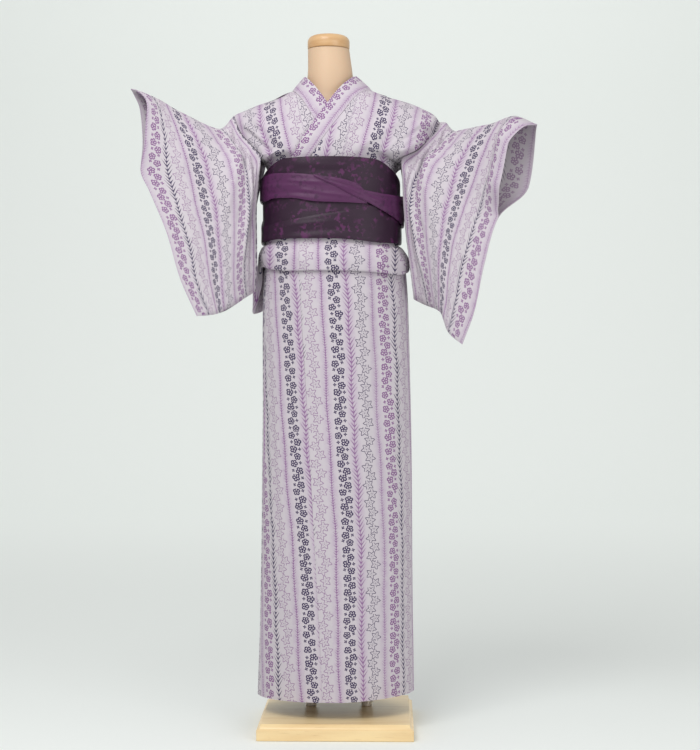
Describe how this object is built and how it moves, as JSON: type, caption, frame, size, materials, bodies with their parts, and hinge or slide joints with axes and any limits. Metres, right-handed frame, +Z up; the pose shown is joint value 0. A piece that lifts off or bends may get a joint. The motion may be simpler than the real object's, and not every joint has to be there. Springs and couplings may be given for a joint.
{
  "type": "cotton yukata robe on a limbless dress form and stand",
  "caption": "Women's cotton yukata robe, left over right, with tucked waist fold and half-width belt, standing on a headless limbless dress form with two poles and a wooden base",
  "frame": {"origin": "centre of the base plate's underside", "axes": "+Z up, +X to the wearer's left, -Y to the wearer's front"},
  "size_m": [0.8593, 0.3593, 1.507],
  "materials": {
    "cotton": "matte",
    "obi_satin": "satin",
    "obi_bright": "satin",
    "form_skin": "matte",
    "wood": "satin",
    "metal": "satin"
  },
  "bodies": {
    "root": {"skirt_okumi_right": "cotton", "skirt_front_right": "cotton", "skirt_back_right": "cotton", "skirt_back_left": "cotton", "skirt_front_left": "cotton", "skirt_okumi_left": "cotton", "body_right": "cotton", "body_left": "cotton", "sleeve_right": "cotton", "sleeve_left": "cotton", "collar": "cotton", "fold_front": "cotton", "fold_back_left": "cotton", "fold_back_right": "cotton", "obi_wrap_inner": "obi_satin", "obi_wrap_outer": "obi_satin", "obi_band_right": "obi_bright", "obi_band_left": "obi_bright", "obi_bow_right": "obi_satin", "obi_bow_left": "obi_satin", "obi_knot": "obi_satin", "form_torso": "form_skin", "neck_cap": "wood", "pole_right": "metal", "pole_ring_right": "metal", "pole_left": "metal", "pole_ring_left": "metal", "stand_base": "wood"}
  },
  "joints": []
}
